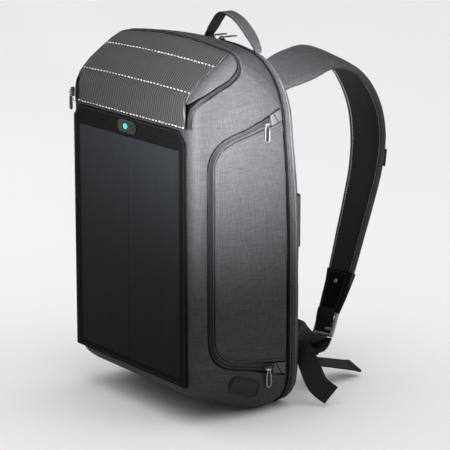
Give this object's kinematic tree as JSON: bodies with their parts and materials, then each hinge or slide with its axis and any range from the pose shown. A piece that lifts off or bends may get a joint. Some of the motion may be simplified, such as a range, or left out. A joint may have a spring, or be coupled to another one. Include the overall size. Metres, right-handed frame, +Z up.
{
  "type": "solar backpack",
  "caption": "Dark grey commuter backpack with a solar panel on its front, zipped lid, side pockets, laptop compartment and padded shoulder straps.",
  "frame": {"origin": "bottom centre of the whole piece's box, under the rear of the bag's base", "axes": "+X to the right from the front, -Y out of the solar panel, +Y towards the wearer, +Z up"},
  "size_m": [0.3418, 0.389, 0.5178],
  "materials": {
    "coated_fabric": "smooth water-resistant woven, slight sheen",
    "ribbed_fabric": "ribbed weave, matt",
    "black_fabric": "woven tape, matt",
    "mesh_fabric": "spacer mesh over foam, matt",
    "webbing": "flat woven webbing, matt",
    "lining": "plain lining, matt",
    "solar_cell": "dark coated cell, satin",
    "black_plastic": "fine texture",
    "rubber": "soft, matt",
    "zip_metal": "dark satin",
    "buckle_plastic": "satin grey",
    "led": "clear lens",
    "foam_board": "closed-cell board"
  },
  "bodies": {
    "root": {"body_shell": "coated_fabric", "lid_zip_tape": "black_fabric", "side_zip_tape_right": "black_fabric", "side_pocket_right": "lining", "side_zip_tape_left": "black_fabric", "side_pocket_left": "lining", "panel_border": "black_fabric", "solar_cell_right": "solar_cell", "solar_cell_left": "solar_cell", "panel_stiffener": "foam_board", "control_pod": "black_plastic", "status_light": "led", "charge_controller": "black_plastic", "power_bank": "black_plastic", "usb_port": "black_plastic", "usb_lead": "black_plastic", "laptop_divider": "lining", "back_piping": "black_fabric", "laptop_zip_tape": "black_fabric"},
    "lid": {"lid_panel": "ribbed_fabric", "lid_side_right": "coated_fabric", "lid_side_left": "coated_fabric"},
    "lid_slider_body": {"lid_slider": "zip_metal"},
    "lid_pull_body": {"lid_pull": "zip_metal"},
    "button": {"power_button": "rubber"},
    "usb_flap": {"usb_cover": "rubber"},
    "laptop_back": {"laptop_cover": "coated_fabric", "back_pad_right": "mesh_fabric", "back_pad_left": "mesh_fabric", "luggage_band": "webbing", "belt_webbing_right": "webbing", "belt_webbing_left": "webbing"},
    "handle": {"carry_handle": "webbing"},
    "door_right": {"side_door_right": "coated_fabric"},
    "strap_right": {"strap_pad_right": "mesh_fabric", "strap_end_right": "black_fabric", "ladder_lock_right": "buckle_plastic", "lower_webbing_right": "webbing", "webbing_tail_right": "webbing"},
    "laptop_slider_right": {"laptop_right_slider": "zip_metal"},
    "laptop_pull_right": {"laptop_right_pull": "zip_metal"},
    "upper_slider_right": {"upper_right_slider": "zip_metal"},
    "upper_pull_right": {"upper_right_pull": "zip_metal"},
    "lower_slider_right": {"lower_right_slider": "zip_metal"},
    "lower_pull_right": {"lower_right_pull": "zip_metal"},
    "door_left": {"side_door_left": "coated_fabric"},
    "strap_left": {"strap_pad_left": "mesh_fabric", "strap_end_left": "black_fabric", "ladder_lock_left": "buckle_plastic", "lower_webbing_left": "webbing", "webbing_tail_left": "webbing"},
    "laptop_slider_left": {"laptop_left_slider": "zip_metal"},
    "laptop_pull_left": {"laptop_left_pull": "zip_metal"},
    "upper_slider_left": {"upper_left_slider": "zip_metal"},
    "upper_pull_left": {"upper_left_pull": "zip_metal"},
    "lower_slider_left": {"lower_left_slider": "zip_metal"},
    "lower_pull_left": {"lower_left_pull": "zip_metal"}
  },
  "joints": [
    {"name": "lid_hinge", "type": "hinge", "parent": "root", "child": "lid", "pos_m": [0, -0.1925, 0.395], "axis": [1, 0, 0], "range_deg": [0, 100]},
    {"name": "lid_zip", "type": "slide", "parent": "root", "child": "lid_slider_body", "axis": [0, 0, 1], "range_m": [0, 0.01]},
    {"name": "lid_pull_hinge", "type": "hinge", "parent": "lid_slider_body", "child": "lid_pull_body", "pos_m": [-0.137, -0.1938, 0.407], "axis": [-1, 0, 0], "range_deg": [0, 150]},
    {"name": "power_press", "type": "slide", "parent": "root", "child": "button", "axis": [0, 1, 0], "range_m": [0, 0.0008], "stiffness_N_per_m": 400},
    {"name": "usb_flap_hinge", "type": "hinge", "parent": "root", "child": "usb_flap", "pos_m": [0.1488, -0.10222, 0.05475], "axis": [0, -0.9397, 0.342], "range_deg": [0, 110]},
    {"name": "laptop_back_hinge", "type": "hinge", "parent": "root", "child": "laptop_back", "pos_m": [0, -0.0283, 0.0002], "axis": [-1, 0, 0], "range_deg": [0, 20]},
    {"name": "handle_hinge", "type": "hinge", "parent": "laptop_back", "child": "handle", "pos_m": [0, -0.0225, 0.474], "axis": [1, 0, 0], "range_deg": [-30, 32], "stiffness_Nm_per_rad": 0.05},
    {"name": "side_door_right_hinge", "type": "hinge", "parent": "root", "child": "door_right", "pos_m": [0.1476, -0.035, 0.067], "axis": [-0.0111, 0, 0.9999], "range_deg": [0, 95]},
    {"name": "strap_right_swing", "type": "hinge", "parent": "laptop_back", "child": "strap_right", "pos_m": [0.075, -0.0115, 0.439], "axis": [-0.1543, -0.0119, 0.988], "range_deg": [-28, 6]},
    {"name": "laptop_zip_right", "type": "slide", "parent": "root", "child": "laptop_slider_right", "axis": [1, 0, 0], "range_m": [0, 0.03]},
    {"name": "laptop_pull_right_hinge", "type": "hinge", "parent": "laptop_slider_right", "child": "laptop_pull_right", "pos_m": [-0.014, -0.0294, 0.4826], "axis": [1, 0, 0], "range_deg": [0, 150]},
    {"name": "upper_zip_right", "type": "slide", "parent": "door_right", "child": "upper_slider_right", "axis": [0.125, -0.9691, -0.2124], "range_m": [0, 0.025]},
    {"name": "upper_pull_right_hinge", "type": "hinge", "parent": "upper_slider_right", "child": "upper_pull_right", "pos_m": [0.14545, -0.0695, 0.3925], "axis": [0, -1, 0], "range_deg": [0, 150]},
    {"name": "lower_zip_right", "type": "slide", "parent": "door_right", "child": "lower_slider_right", "axis": [0, -0.9907, 0.1357], "range_m": [0, 0.008]},
    {"name": "lower_pull_right_hinge", "type": "hinge", "parent": "lower_slider_right", "child": "lower_pull_right", "pos_m": [0.1511, -0.0695, 0.0625], "axis": [0, -1, 0], "range_deg": [0, 150]},
    {"name": "side_door_left_hinge", "type": "hinge", "parent": "root", "child": "door_left", "pos_m": [-0.1476, -0.035, 0.067], "axis": [-0.0111, 0, -0.9999], "range_deg": [0, 95]},
    {"name": "strap_left_swing", "type": "hinge", "parent": "laptop_back", "child": "strap_left", "pos_m": [-0.075, -0.0115, 0.439], "axis": [0.1543, -0.0119, 0.988], "range_deg": [-10, 4]},
    {"name": "laptop_zip_left", "type": "slide", "parent": "root", "child": "laptop_slider_left", "axis": [-1, 0, 0], "range_m": [0, 0.006]},
    {"name": "laptop_pull_left_hinge", "type": "hinge", "parent": "laptop_slider_left", "child": "laptop_pull_left", "pos_m": [-0.037, -0.0294, 0.4826], "axis": [1, 0, 0], "range_deg": [0, 30]},
    {"name": "upper_zip_left", "type": "slide", "parent": "door_left", "child": "upper_slider_left", "axis": [-0.125, -0.9691, -0.2124], "range_m": [0, 0.025]},
    {"name": "upper_pull_left_hinge", "type": "hinge", "parent": "upper_slider_left", "child": "upper_pull_left", "pos_m": [-0.14545, -0.0695, 0.3925], "axis": [0, 1, 0], "range_deg": [0, 150]},
    {"name": "lower_zip_left", "type": "slide", "parent": "door_left", "child": "lower_slider_left", "axis": [0, -0.9907, 0.1357], "range_m": [0, 0.025]},
    {"name": "lower_pull_left_hinge", "type": "hinge", "parent": "lower_slider_left", "child": "lower_pull_left", "pos_m": [-0.1511, -0.0695, 0.0625], "axis": [0, 1, 0], "range_deg": [0, 150]}
  ]
}
